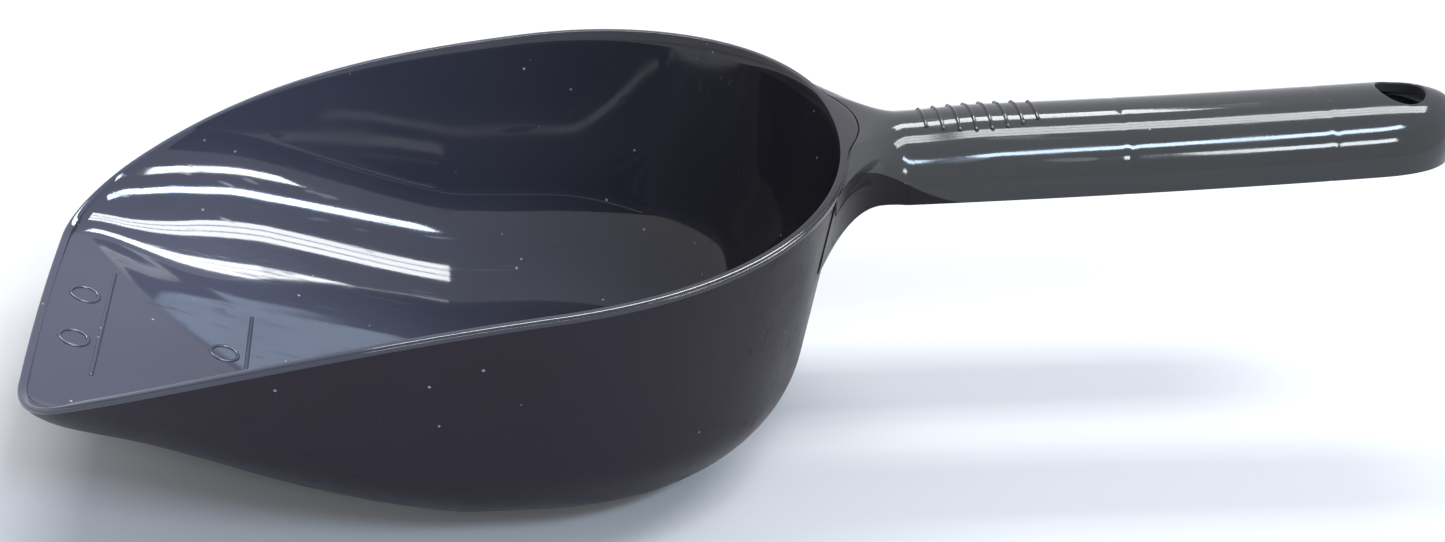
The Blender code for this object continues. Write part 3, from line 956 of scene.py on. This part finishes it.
    def sleeve(self, centre: float, radius: float) -> None:
        """The short tube under the crown that lines the hole: a turned profile with rounded lower edges.

        Args:
            centre: the hole's place along the handle.
            radius: the hole's radius.
        """
        box_low, box_high = low("hang_sleeve"), high("hang_sleeve")
        inner, outer = radius - self.sleeve_fit, radius + self.sleeve_wall
        foot, top, soft = box_low.z, box_high.z + self.sleeve_wall, self.sleeve_round
        near = 0.3 * soft
        lower = [(inner, foot + soft), (inner + near, foot + near), (inner + soft, foot)]
        lower += [(outer - soft, foot), (outer - near, foot + near), (outer, foot + soft)]
        profile = np.array([(inner, top), *lower, (outer, top - self.sleeve_slope), (inner, top)])
        span, height = profile[:, :1], profile[:, 1:]
        turn = np.linspace(0.0, 2 * np.pi, self.hole_steps, endpoint=False)[None, :]
        skin = Skin("sleeve_skin", (Finish.SATIN,))
        skin.add(stack(centre + span * np.cos(turn), span * np.sin(turn), height), 0, wrap=True)
        hand_over(skin.build(), Slot.HANDLE, "hang_sleeve")

    def pierce(self, made: bpy.types.Object, post: bpy.types.Object) -> None:
        """Cut the post out of the handle's skin, and keep the result as its mesh.

        Args:
            made: the handle's skin.
            post: the cutter, which is used up.
        """
        cut = made.modifiers.new("hanging_hole", "BOOLEAN")
        cut.operation = "DIFFERENCE"
        cut.solver = "EXACT"
        cut.object = post
        graph = bpy.context.evaluated_depsgraph_get()
        pierced = bpy.data.meshes.new_from_object(made.evaluated_get(graph))
        made.modifiers.clear()
        plain, made.data = made.data, pierced
        bpy.data.meshes.remove(plain)
        bpy.data.objects.remove(post, do_unlink=True)
        pierced.name = made.name
        pierced.shade_smooth()
        pierced.set_sharp_from_angle(angle=self.sharp_angle)

    def build(self) -> bpy.types.Object:
        """Make the handle's skin, cut its hole and line it."""
        outside, inside, finish = self.skin_points()
        skin = Skin("handle_skin", (Finish.HANDLE, Finish.SATIN))
        skin.add(outside, finish)
        skin.add(inside, 1)
        for column in (0, -1):
            skin.add(np.stack([outside[:, column], inside[:, column]], axis=1), 1)
        skin.add(np.stack([outside[0], inside[0]]), 0)
        made = skin.build()
        centre = middle("hang_sleeve").x - BACK_OF_RIM
        radius = (high("hang_sleeve").y - low("hang_sleeve").y) / 2 - self.sleeve_wall
        self.pierce(made, self.drill(centre, radius))
        hand_over(made, Slot.HANDLE, "handle_grip", "handle_end", "neck_saddle")
        self.sleeve(centre, radius)
        return made


@dataclass
class Gusset:
    """The satin bracket under the neck, hollowed round from the handle down to the bowl's back.

    Attributes:
        handle: the handle it holds up.
        fall: how far the hollow comes down at the bowl.
        start: where the hollow starts under the handle.
        buried: how far its hidden faces reach into the bowl's wall.
        rows: rows along the neck.
        depth_steps: faces down a side.
        across_steps: faces across.
    """

    handle: Handle
    fall: float = 9.2 * MM
    start: float = 7.0 * MM
    buried: float = 0.3 * MM
    rows: int = 56
    row_power: float = 1.2
    depth_steps: int = 14
    across_steps: int = 36
    hug_power: int = 6
    settling_rounds: int = 40

    def wall(self, y: Array, z: Array) -> Array:
        """x just under the surface of the bowl's back, at y and z.

        Args:
            y: places across the scoop.
            z: their heights.

        Returns:
            x of each.
        """
        bowl = self.handle.bowl
        depth = bowl.rim_height - z
        return bowl.back_edge(y) - bowl.step_width - depth * np.tan(bowl.draft) - self.buried

    def under(self, share: Array, x: Array) -> Array:
        """Height of the underside: level with the handle's edge, then a quarter ellipse down to the wall."""
        hollow = self.fall * (1 - np.sqrt(1 - (1 - np.clip(share, 0.0, 1.0)) ** 2))
        return self.handle.skirt(np.maximum(x, self.start)) - hollow

    def side(self, t: Array) -> Array:
        """The side that hangs from the parting line, drafted at the bowl and upright at the handle.

        Each row leaves the parting line square to it. Its foot is where the underside meets it, found by
        going halfway there again and again.

        Args:
            t: place along the neck of each row.

        Returns:
            Rows x points down the side x 3.
        """
        handle = self.handle
        px, py, pz = handle.neck_skin(np.ones((1, 1)), t)
        along, over = np.gradient(px, axis=0), np.gradient(py, axis=0)
        size = np.hypot(along, over)
        nx, ny = -over / size, along / size
        q = np.linspace(1.0, 2.0, self.depth_steps + 1)[None, :]
        y, z = handle.grip(np.array([[handle.neck]]), q)
        rise = (z[:, :1] - z) / (z[:, :1] - z[:, -1:])
        bulge = y - y[:, :1]
        upright = t**2
        slant = (1 - upright) * np.tan(handle.bowl.draft)
        foot = np.full_like(px, handle.skirt(self.start))
        for _ in range(self.settling_rounds):
            off = bulge[:, -1:] * upright - slant * (pz - foot)
            x, y = px + nx * off, py + ny * off
            wall = self.wall(y, foot)
            foot = (foot + self.under((x - wall) / (self.start - wall), x)) / 2
        depth = (pz - foot) * rise
        off = bulge * upright - slant * depth
        return stack(px + nx * off, py + ny * off, pz - depth)

    def sheet(self, edge: Array, hug: Array, height: Array | None = None) -> Array:
        """A sheet across the bracket, between an edge and its mirror image.

        Its x is a share of the way from the bowl's wall to where the hollow starts. The share is the
        edge's own at both sides, and less in between by the edge's share times hug.

        Args:
            edge: points along one side's edge.
            hug: 1 where the sheet's middle lies against the wall, 0 where it runs straight across.
            height: of each row, or none to follow the underside.

        Returns:
            Points along the edge x points across x 3.
        """
        v = np.linspace(1.0, -1.0, self.across_steps + 1)[None, :]
        x, y, z = edge[:, :1], edge[:, 1:2], edge[:, 2:3]
        run = self.start - self.wall(y, z)
        own = 1 - (self.start - x) / run
        held = own - own * (1 - v**self.hug_power) * hug
        z = np.where(np.abs(v) == 1.0, z, self.under(held, x) if height is None else height)
        y = y * v
        short = np.where(held <= 1, self.start - self.wall(y, z), run)
        return stack(self.start + (held - 1) * short, y, z)

    def build(self) -> None:
        """Make the bracket: two sides, its underside, and hidden faces at the top and both ends."""
        t = (np.linspace(0.0, 1.0, self.rows) ** self.row_power)[:, None]
        side = self.side(t)
        v = np.linspace(1.0, -1.0, self.across_steps + 1)[None, :]
        top = self.sheet(side[:, 0], 1 - t, side[:, 0, 2:3])
        foot = self.sheet(side[:, -1], 1 - t)
        first = side[0, :, 2:3]
        drop = (first - first[0]) / (first[-1] - first[0])
        back = self.sheet(side[0], np.ones_like(drop), top[0, :, 2] + (foot[0, :, 2] - top[0, :, 2]) * drop)
        front = side[-1][:, None, :] * stack(1.0, v[0], 1.0)[None]
        skin = Skin("gusset_skin", (Finish.SATIN,), merge=TUCK)
        for grid in (side, side * (1, -1, 1), top, foot, back, front):
            skin.add(grid)
        hand_over(skin.build(), Slot.SATIN, "neck_gusset")


@dataclass
class ChannelRibs:
    """The two stiffening plates across the inside of the channel.

    Attributes:
        handle: the handle they stiffen.
        buried: how far a plate reaches into the channel's skin.
        steps: faces round a plate.
    """

    handle: Handle
    buried: float = 0.3 * MM
    steps: int = 40

    def build(self) -> None:
        """Make each plate: a half-round slab that fills the channel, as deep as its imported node."""
        handle = self.handle
        turn = np.linspace(0.0, np.pi, self.steps + 1)[None, :]
        radius = handle.width / 2 - handle.wall + self.buried
        for index, place in enumerate(handle.rib_places()):
            node = f"cross_rib_{index + 1}"
            half = (high(node).x - low(node).x) / 2
            x = place + np.array([[-half], [half]])
            top = handle.crest(x) - handle.wall + self.buried
            face = stack(x, radius * np.cos(turn), top - radius + radius * np.sin(turn))
            foot = face * (1, 1, 0) + (0, 0, low(node).z)
            skin = Skin(f"channel_{node}", (Finish.SATIN,))
            skin.add(np.stack([foot[0], face[0], face[1], foot[1], foot[0]]))
            for column in (0, -1):
                skin.add(np.stack([foot[:, column], face[:, column]]))
            hand_over(skin.build(), Slot.SATIN, node)


@dataclass
class ThumbRibs:
    """Thin raised ribs over the crest, longest in the middle of the row.

    Attributes:
        handle: the handle they stand on.
        width: across a rib.
        height: of a rib above the crown.
        sink: how far its underside reaches into the crown.
        end_ball: how much fatter it is just before its ends.
        ball_place: share of the way to an end at which it is fattest.
        ball_width: share of the way over which it is so.
        taper_start: share of the way at which it starts to run out.
        least_share: keeps its ends from closing to a point.
        steps: faces along a rib.
        across_steps: faces over a rib.
    """

    handle: Handle
    width: float = 0.85 * MM
    height: float = 0.5 * MM
    sink: float = 0.15 * MM
    end_ball: float = 1.25
    ball_place: float = 0.93
    ball_width: float = 0.05
    taper_start: float = 0.9
    least_share: float = 1e-4
    steps: int = 60
    across_steps: int = 12

    def build(self) -> None:
        """Make each rib: a half-round bead wrapped over the crown, a little fatter just before its ends."""
        handle = self.handle
        path = np.sin(np.linspace(-np.pi / 2, np.pi / 2, self.steps + 1))[:, None]
        across = np.linspace(0.0, np.pi, self.across_steps + 1)[None, :]
        swell = 1 + (self.end_ball - 1) * np.exp(-(((np.abs(path) - self.ball_place) / self.ball_width) ** 2))
        run_out = np.clip((np.abs(path) - self.taper_start) / (1 - self.taper_start), 0.0, 1.0)
        size = swell * np.sqrt(np.maximum(1 - run_out**2, self.least_share))
        radius = handle.width / 2 + self.height * np.sin(across) * size - self.sink
        for node in sorted(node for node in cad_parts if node.startswith("thumb_rib_")):
            x = middle(node).x - BACK_OF_RIM + self.width / 2 * np.cos(across) * size
            reach = high(node).y / (handle.width / 2 + self.height)
            turn = np.pi / 2 + np.arcsin(np.clip(reach, 0.0, 1.0)) * path
            top = handle.crest(x) - handle.width / 2
            points = stack(x, radius * np.cos(turn), top + radius * np.sin(turn))
            skin = Skin(f"{node}_bead", (Finish.HANDLE,))
            skin.add(points, wrap=True)
            for end in (points[:1], points[-1:]):
                skin.add(np.concatenate([end, end[:, ::-1]]))
            hand_over(skin.build(), Slot.HANDLE, node)


# ---------------------------------------------------------------- finishes


class Nodes:
    """A short hand for laying shader nodes and joining them."""

    def __init__(self, tree: bpy.types.NodeTree) -> None:
        """Start from a tree with no nodes."""
        self.tree = tree
        tree.nodes.clear()

    def add(self, kind: str, **inputs: object) -> bpy.types.Node:
        """Add a node.

        Args:
            kind: the node's type.
            **inputs: settings by attribute name, or values and sockets by input name with _ for a space.

        Returns:
            The node.
        """
        node = self.tree.nodes.new(kind)
        for name, value in inputs.items():
            if hasattr(node, name) and name not in ("inputs", "outputs"):
                setattr(node, name, value)
                continue
            self.feed(node.inputs[name.replace("_", " ")], value)
        return node

    def feed(self, socket: Socket, value: object) -> None:
        """Link an output to a socket, or set the socket's value."""
        if isinstance(value, Socket):
            self.tree.links.new(value, socket)
        else:
            socket.default_value = value

    def noise(self, where: Socket, scale: float, detail: float = 2.0, rough: float = 0.5) -> Socket:
        """Noise with this many features to the metre."""
        node = self.add("ShaderNodeTexNoise", Vector=where, Scale=scale, Detail=detail, Roughness=rough)
        return node.outputs["Fac"]

    def span(self, value: Socket, low_in: float, high_in: float, low_out: float, high_out: float) -> Socket:
        """Map one range of numbers to another, held at its ends.

        Args:
            value: the number.
            low_in: start of its range.
            high_in: end of its range.
            low_out: what the start becomes.
            high_out: what the end becomes.

        Returns:
            The mapped number.
        """
        ends = {"From_Min": low_in, "From_Max": high_in, "To_Min": low_out, "To_Max": high_out}
        return self.add("ShaderNodeMapRange", Value=value, **ends).outputs["Result"]

    def math(self, operation: str, first: Socket | float, second: Socket | float) -> Socket:
        """One sum of two numbers.

        Args:
            operation: the sum's name in the node.
            first: the first number.
            second: the second.

        Returns:
            The answer.
        """
        node = self.add("ShaderNodeMath", operation=operation)
        self.feed(node.inputs[0], first)
        self.feed(node.inputs[1], second)
        return node.outputs[0]

    def mix(self, share: Socket, first: Socket | Colour, second: Socket | Colour) -> Socket:
        """A blend of two colours."""
        node = self.add("ShaderNodeMix", data_type="RGBA", Factor=share, A=first, B=second)
        return node.outputs["Result"]


@dataclass(frozen=True)
class Plastic:
    """Moulded black plastic, with the mould's own grain, handling marks and a little dust.

    Scales are in features to the metre.

    Attributes:
        finish: which finish this is.
        colour: the plastic's colour.
        tint: the colour it eases to towards the lip; on the bowl a painted bluish light, with painted shade
            towards the back; on the handle and satin parts only a drift of tone.
        drift: where along the scoop the tint is full and where it is gone.
        gloss: roughness where it is clean.
        dull: roughness where it is handled.
        grain_scale: the mould grain's scale.
        grain_depth: the mould grain's height.
        wave_depth: height of the slow waves that shrinkage leaves.
        dust: share of the surface that specks cover.
        shine: strength of the mirror-like part, one half being plain plastic.
        patch_scale: scale of the tint's patches.
        handled_scale: scale of the handled patches.
        wave_scale: the slow waves' scale.
        speck_scale: the specks' scale.
        speck_size: a speck's size, where it is whole and where it ends, as a share of its cell.
        speck_bunch: scale at which specks bunch together.
        speck_colour: colour of the dust.
        speck_rough: roughness of the dust.
        rub_scale: scale of the fine rubs along, across and up.
        rub_lean: how far the rubs lean off the scoop's length.
        rub_rough: roughness that a rub adds.
    """

    finish: Finish
    colour: Colour
    tint: Colour
    drift: tuple[float, float]
    gloss: float
    dull: float
    grain_scale: float
    grain_depth: float
    wave_depth: float
    dust: float
    shine: float
    patch_scale: float = 22.0
    handled_scale: float = 60.0
    wave_scale: float = 35.0
    speck_scale: float = 260.0
    speck_size: tuple[float, float] = (0.05, 0.09)
    speck_bunch: float = 190.0
    speck_colour: Colour = (0.22, 0.22, 0.25, 1.0)
    speck_rough: float = 0.8
    rub_scale: Point = (40.0, 900.0, 300.0)
    rub_lean: float = 0.35
    rub_rough: float = 0.12

    def make(self) -> None:
        """Build the material: colour and roughness drift, and grain rides on slow waves in the bump."""
        material = bpy.data.materials.new(self.finish.value)
        material.use_nodes = True
        nodes = Nodes(material.node_tree)
        where = nodes.add("ShaderNodeTexCoord").outputs["Object"]
        specks = self.specks(nodes, where)
        shader = nodes.add(
            "ShaderNodeBsdfPrincipled",
            Base_Color=nodes.mix(specks, self.painted_light_and_tone(nodes, where), self.speck_colour),
            Roughness=self.roughness(nodes, where, specks),
            Normal=self.bump(nodes, where),
            IOR=1.5,
            Specular_IOR_Level=self.shine,
        )
        nodes.add("ShaderNodeOutputMaterial", Surface=shader.outputs[0])

    def painted_light_and_tone(self, nodes: Nodes, where: Socket) -> Socket:
        """The plastic's colour, eased to its tint towards the lip and in broad patches; on the bowl this is
        painted light.

        Args:
            nodes: the material's nodes.
            where: places in the scoop's frame.

        Returns:
            The colour.
        """
        along = nodes.add("ShaderNodeSeparateXYZ", Vector=where).outputs["X"]
        drift = nodes.span(along, *self.drift, 1.0, 0.0)
        patches = nodes.span(nodes.noise(where, self.patch_scale, 3.0), 0.3, 0.7, 0.75, 1.0)
        # Painted light on the bowl: the lighter, bluer tint towards the lip stands in for light falling
        # there, the darker colour towards the back for shade.
        return nodes.mix(nodes.math("MULTIPLY", drift, patches), self.colour, self.tint)

    def roughness(self, nodes: Nodes, where: Socket, specks: Socket) -> Socket:
        """Clean to handled in patches, rough where a speck lies, and a little more along each rub.

        Args:
            nodes: the material's nodes.
            where: places in the scoop's frame.
            specks: where dust lies.

        Returns:
            The roughness.
        """
        patches = nodes.noise(where, self.handled_scale, 4.0, 0.6)
        plain = nodes.span(patches, 0.4, 0.75, self.gloss, self.dull)
        dusty = nodes.math("MAXIMUM", plain, nodes.math("MULTIPLY", specks, self.speck_rough))
        rubs = nodes.math("MULTIPLY", self.rubs(nodes, where), self.rub_rough)
        return nodes.math("ADD", dusty, rubs)

    def bump(self, nodes: Nodes, where: Socket) -> Socket:
        """The mould's grain on top of slow waves.

        Args:
            nodes: the material's nodes.
            where: places in the scoop's frame.

        Returns:
            The bent normal.
        """
        normal = None
        for height, depth in (
            (nodes.noise(where, self.wave_scale, 1.0), self.wave_depth),
            (nodes.noise(where, self.grain_scale), self.grain_depth),
        ):
            bump = nodes.add("ShaderNodeBump", Strength=1.0, Distance=depth, Height=height)
            if normal:
                nodes.feed(bump.inputs["Normal"], normal)
            normal = bump.outputs[0]
        return normal

    def specks(self, nodes: Nodes, where: Socket) -> Socket:
        """Dust: small cells of a Voronoi pattern, kept where a second noise is high.

        Args:
            nodes: the material's nodes.
            where: places in the scoop's frame.

        Returns:
            1 on a speck, 0 off it.
        """
        cells = nodes.add("ShaderNodeTexVoronoi", Vector=where, Scale=self.speck_scale).outputs["Distance"]
        spots = nodes.span(cells, *self.speck_size, 1.0, 0.0)
        bunches = nodes.noise(where, self.speck_bunch, 0.0)
        kept = nodes.span(bunches, 0.72 - self.dust, 0.78 - self.dust, 0.0, 1.0)
        return nodes.math("MULTIPLY", spots, kept)

    def rubs(self, nodes: Nodes, where: Socket) -> Socket:
        """Fine rubs: noise drawn out along the scoop, kept only at its thin ridges.

        Args:
            nodes: the material's nodes.
            where: places in the scoop's frame.

        Returns:
            1 on a rub, 0 off it.
        """
        lean = (0.0, 0.0, self.rub_lean)
        turned = nodes.add("ShaderNodeMapping", Vector=where, Scale=self.rub_scale, Rotation=lean)
        return nodes.span(nodes.noise(turned.outputs[0], 1.0, 1.0), 0.66, 0.72, 0.0, 1.0)


FINISHES = (
    Plastic(
        finish=Finish.BOWL,
        colour=(0.012, 0.011, 0.014, 1.0),
        # Painted light: this bluish tint towards the lip stands in for the light falling on that side; the
        # darker colour towards the back is painted shade.
        tint=(0.040, 0.043, 0.064, 1.0),
        drift=(-70.0 * MM, 40.0 * MM),
        gloss=0.05,
        dull=0.1,
        grain_scale=900.0,
        grain_depth=0.002 * MM,
        wave_depth=0.1 * MM,
        dust=0.1,
        shine=0.5,
    ),
    Plastic(
        finish=Finish.HANDLE,
        colour=(0.024, 0.025, 0.025, 1.0),
        tint=(0.036, 0.036, 0.035, 1.0),
        drift=(-50.0 * MM, 250.0 * MM),
        gloss=0.06,
        dull=0.12,
        grain_scale=900.0,
        grain_depth=0.003 * MM,
        wave_depth=0.14 * MM,
        dust=0.02,
        shine=0.3,
    ),
    Plastic(
        finish=Finish.SATIN,
        colour=(0.006, 0.004, 0.006, 1.0),
        tint=(0.014, 0.010, 0.017, 1.0),
        drift=(0.0 * MM, 60.0 * MM),
        gloss=0.34,
        dull=0.46,
        grain_scale=1800.0,
        grain_depth=0.015 * MM,
        wave_depth=0.1 * MM,
        dust=0.09,
        shine=0.2,
    ),
)


# ---------------------------------------------------------------- studio


@dataclass(frozen=True)
class Panel:
    """A flat lamp that hangs level or leans towards what it lights.

    Attributes:
        name: its name.
        place: where it hangs.
        aim: the point it faces.
        size: its length and width.
        glow: how bright its face is.
        colour: its colour.
    """

    name: str
    place: Point
    aim: Point
    size: tuple[float, float]
    glow: float
    colour: Point

    def hang(self) -> None:
        """Hang it. Its power is pi times its glow times its area."""
        light = bpy.data.lights.new(self.name, "AREA")
        light.shape = "RECTANGLE"
        light.size, light.size_y = self.size
        light.energy = np.pi * self.glow * self.size[0] * self.size[1]
        light.color = self.colour
        made = bpy.data.objects.new(self.name, light)
        bpy.context.scene.collection.objects.link(made)
        made.location = self.place
        made.rotation_mode = "QUATERNION"
        made.rotation_quaternion = (Vector(self.aim) - Vector(self.place)).to_track_quat("-Z", "Y")
        made.visible_camera = False


@dataclass(frozen=True)
class TubeRow:
    """A row of ceiling tubes side by side, with thin dark bars between them.

    Attributes:
        across: the row's middle, across the scoop.
        start: its start along the scoop.
        end: its end along the scoop.
        glow: how bright the tubes are.
        height: the ceiling's height.
        tubes: tubes in the row.
        tube_width: a tube's width.
        gap: the dark bar between two tubes.
        colour: the tubes' colour.
    """

    across: float
    start: float
    end: float
    glow: float
    height: float = 1.6
    tubes: int = 3
    tube_width: float = 0.12
    gap: float = 0.022
    colour: Point = (0.96, 0.98, 1.0)

    def hang(self, name: str) -> None:
        """Hang the tubes, each facing straight down."""
        middle_x, length = (self.start + self.end) / 2, self.end - self.start
        for tube in range(self.tubes):
            y = self.across + (tube - (self.tubes - 1) / 2) * (self.tube_width + self.gap)
            place, aim = (middle_x, y, self.height), (middle_x, y, 0.0)
            size = (length, self.tube_width)
            Panel(f"{name}_{tube + 1}", place, aim, size, self.glow, self.colour).hang()


TUBE_ROWS = (TubeRow(-0.02, 0.28, 1.5, 22.0), TubeRow(1.02, -0.7, 0.74, 24.0))
WINDOWS = (
    Panel("near_window", (0.85, -1.32, 1.6), (0.0, 0.0, 0.0), (0.9, 0.2), 50.0, (0.62, 0.78, 1.0)),
    Panel("far_window", (1.55, -2.75, 1.6), (0.0, 0.0, 0.0), (0.55, 0.34), 36.0, (0.86, 0.94, 1.0)),
)


@dataclass
class Studio:
    """The pale floor, the soft room and the camera.

    Attributes:
        floor_size: the floor's sides.
        floor_drop: how far it lies below the scoop's foot.
        floor_tone: how pale it is.
        floor_drift: how much paler its palest patches are.
        horizon: the room's light low down.
        ceiling: the room's light overhead.
        azimuth: where the camera stands, round from the scoop's near side.
        elevation: how high it stands.
        roll: how far it is rolled.
        distance: from the camera to its aim.
        aim_back: from the back of the rim to the aim.
        aim_height: the aim's height.
        lens: the camera's focal length, in its own millimetres.
        sensor: the width of its sensor, likewise.
        clip: the nearest and farthest that it sees.
    """

    floor_size: float = 6.0
    floor_drop: float = 0.2 * MM
    floor_tone: float = 0.42
    floor_drift: float = 1.04
    horizon: Colour = (0.92, 0.92, 0.96, 1.0)
    ceiling: Colour = (0.72, 0.74, 0.84, 1.0)
    azimuth: float = np.radians(-10.11)
    elevation: float = np.radians(30.719)
    roll: float = np.radians(3.754)
    distance: float = 0.3992
    aim_back: float = 22.05 * MM
    aim_height: float = 31.26 * MM
    lens: float = 48.257
    sensor: float = 36.0
    clip: tuple[float, float] = (0.01, 50.0)

    def floor(self) -> None:
        """A plain pale floor with a faint unevenness of tone."""
        material = bpy.data.materials.new("pale_floor")
        material.use_nodes = True
        nodes = Nodes(material.node_tree)
        where = nodes.add("ShaderNodeTexCoord").outputs["Object"]
        paler = self.floor_tone * self.floor_drift
        plain, pale = (*[self.floor_tone] * 3, 1.0), (*[paler] * 3, 1.0)
        tone = nodes.mix(nodes.noise(where, 3.0, 3.0), plain, pale)
        shader = nodes.add("ShaderNodeBsdfPrincipled", Base_Color=tone, Roughness=0.85)
        nodes.add("ShaderNodeOutputMaterial", Surface=shader.outputs[0])
        half = self.floor_size / 2
        corners = [(-half, -half, 0), (half, -half, 0), (half, half, 0), (-half, half, 0)]
        mesh = bpy.data.meshes.new("floor")
        mesh.from_pydata(corners, [], [(0, 1, 2, 3)])
        mesh.materials.append(material)
        floor = bpy.data.objects.new("floor", mesh)
        bpy.context.scene.collection.objects.link(floor)
        floor.location.z = -self.floor_drop

    def room(self) -> None:
        """Soft light from all round, blended by height from the horizon's to the ceiling's."""
        world = bpy.data.worlds.new("room")
        bpy.context.scene.world = world
        world.use_nodes = True
        nodes = Nodes(world.node_tree)
        where = nodes.add("ShaderNodeTexCoord").outputs["Generated"]
        height = nodes.add("ShaderNodeSeparateXYZ", Vector=where).outputs["Z"]
        tone = nodes.mix(nodes.span(height, 0.1, 0.9, 0.0, 1.0), self.horizon, self.ceiling)
        light = nodes.add("ShaderNodeBackground", Color=tone, Strength=1.0)
        nodes.add("ShaderNodeOutputWorld", Surface=light.outputs[0])

    def camera(self) -> None:
        """The camera, on a sphere round its aim and rolled a little."""
        data = bpy.data.cameras.new("camera")
        data.lens, data.sensor_width = self.lens, self.sensor
        data.sensor_fit = "HORIZONTAL"
        data.clip_start, data.clip_end = self.clip
        made = bpy.data.objects.new("camera", data)
        bpy.context.scene.collection.objects.link(made)
        level = np.cos(self.elevation)
        out = (np.sin(self.azimuth) * level, -np.cos(self.azimuth) * level, np.sin(self.elevation))
        aim = Vector((BACK_OF_RIM - self.aim_back, 0.0, self.aim_height))
        made.location = aim + Vector(out) * self.distance
        made.rotation_mode = "QUATERNION"
        made.rotation_quaternion = (-Vector(out)).to_track_quat("-Z", "Y") @ Quaternion((0, 0, 1), self.roll)
        bpy.context.scene.camera = made

    def build(self) -> None:
        """Lay the floor, light the room and set the camera."""
        bpy.context.scene.view_settings.view_transform = "Standard"
        self.floor()
        self.room()
        for index, row in enumerate(TUBE_ROWS):
            row.hang(f"tube_row_{index + 1}")
        for window in WINDOWS:
            window.hang()
        self.camera()


def main() -> None:
    """Dress the scoop and its studio, in order."""
    logging.basicConfig(level=logging.INFO, format="%(message)s")
    for finish in FINISHES:
        finish.make()
    bowl = Bowl()
    bowl.build()
    CupMarks(bowl).build()
    handle = Handle(bowl)
    handle.build()
    Gusset(handle).build()
    ChannelRibs(handle).build()
    ThumbRibs(handle).build()
    Studio().build()
    bpy.context.view_layer.update()


if __name__ == "__main__":
    main()
